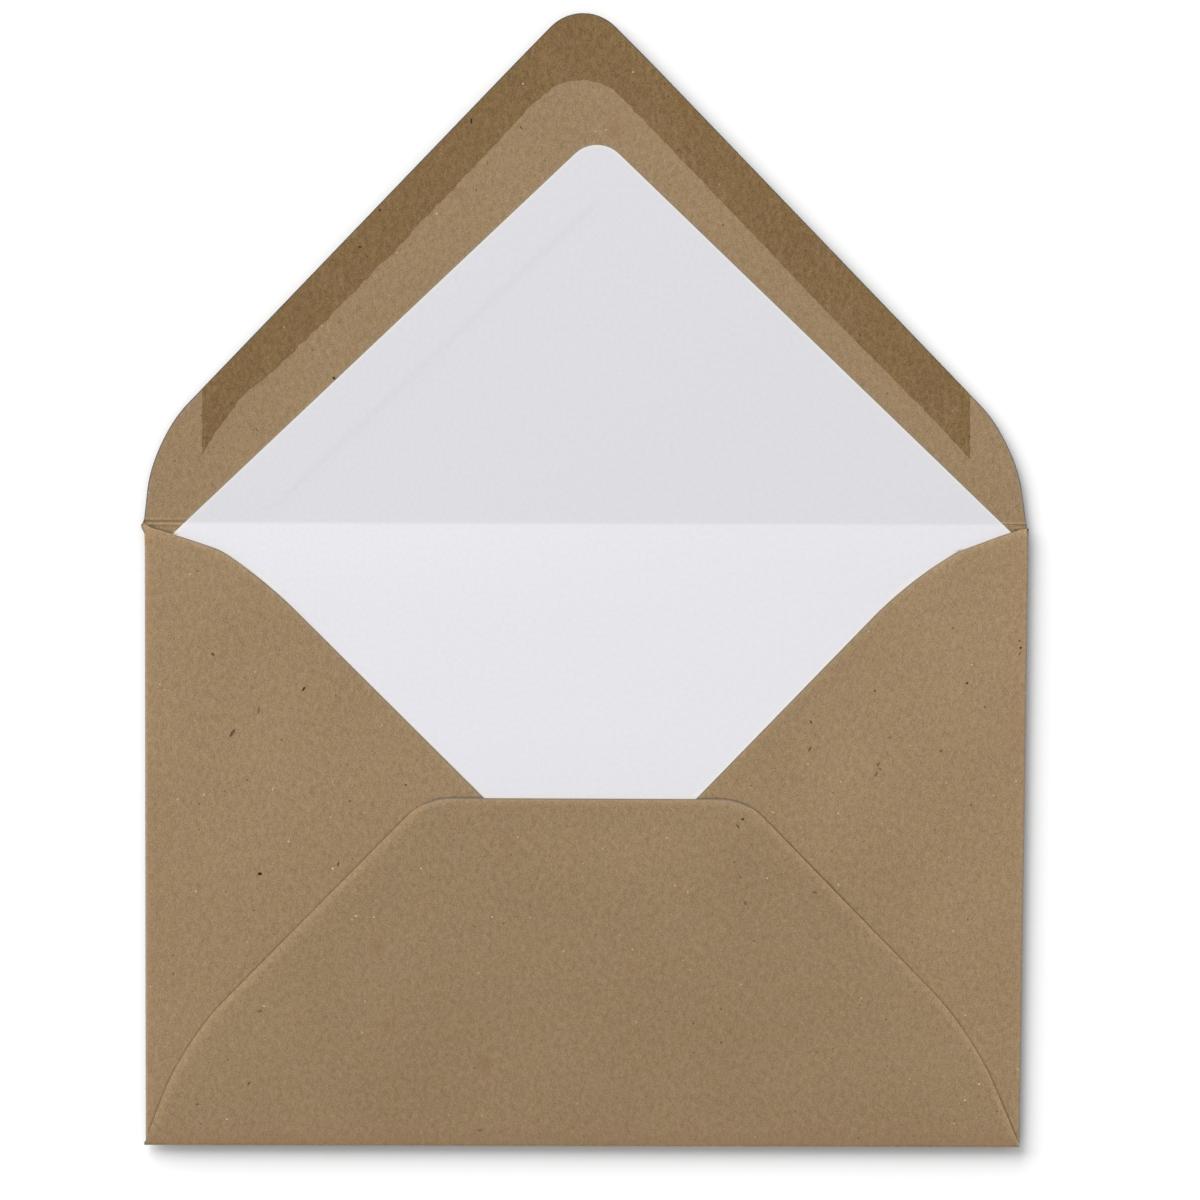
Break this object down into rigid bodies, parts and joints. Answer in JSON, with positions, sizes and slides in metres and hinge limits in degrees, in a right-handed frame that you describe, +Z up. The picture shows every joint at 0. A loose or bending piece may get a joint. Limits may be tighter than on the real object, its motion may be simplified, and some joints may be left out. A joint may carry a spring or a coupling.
{
  "type": "paper envelope",
  "caption": "Flat paper envelope with its pointed seal flap open, a loose white liner in the pocket and a gum band round the flap.",
  "frame": {"origin": "Middle of the address face, which is the outer face of the front panel and lies on the ground.", "axes": "+X to the right when the pocket side is seen from above; +Y from the bottom fold to the point of the open flap; +Z up, out of the pocket side."},
  "size_m": [0.1775, 0.227, 0.0029],
  "materials": {
    "kraft_paper": "matte, recycled kraft with dark specks",
    "liner_paper": "matte, smooth white",
    "dried_gum": "low sheen, remoistenable gum on kraft",
    "paste": "matte, dried paste"
  },
  "bodies": {
    "root": {"envelope_blank": "kraft_paper", "liner": "liner_paper", "seal_gum": "dried_gum", "seam_gum_left": "paste", "seam_gum_right": "paste", "liner_gum": "paste"}
  },
  "joints": []
}
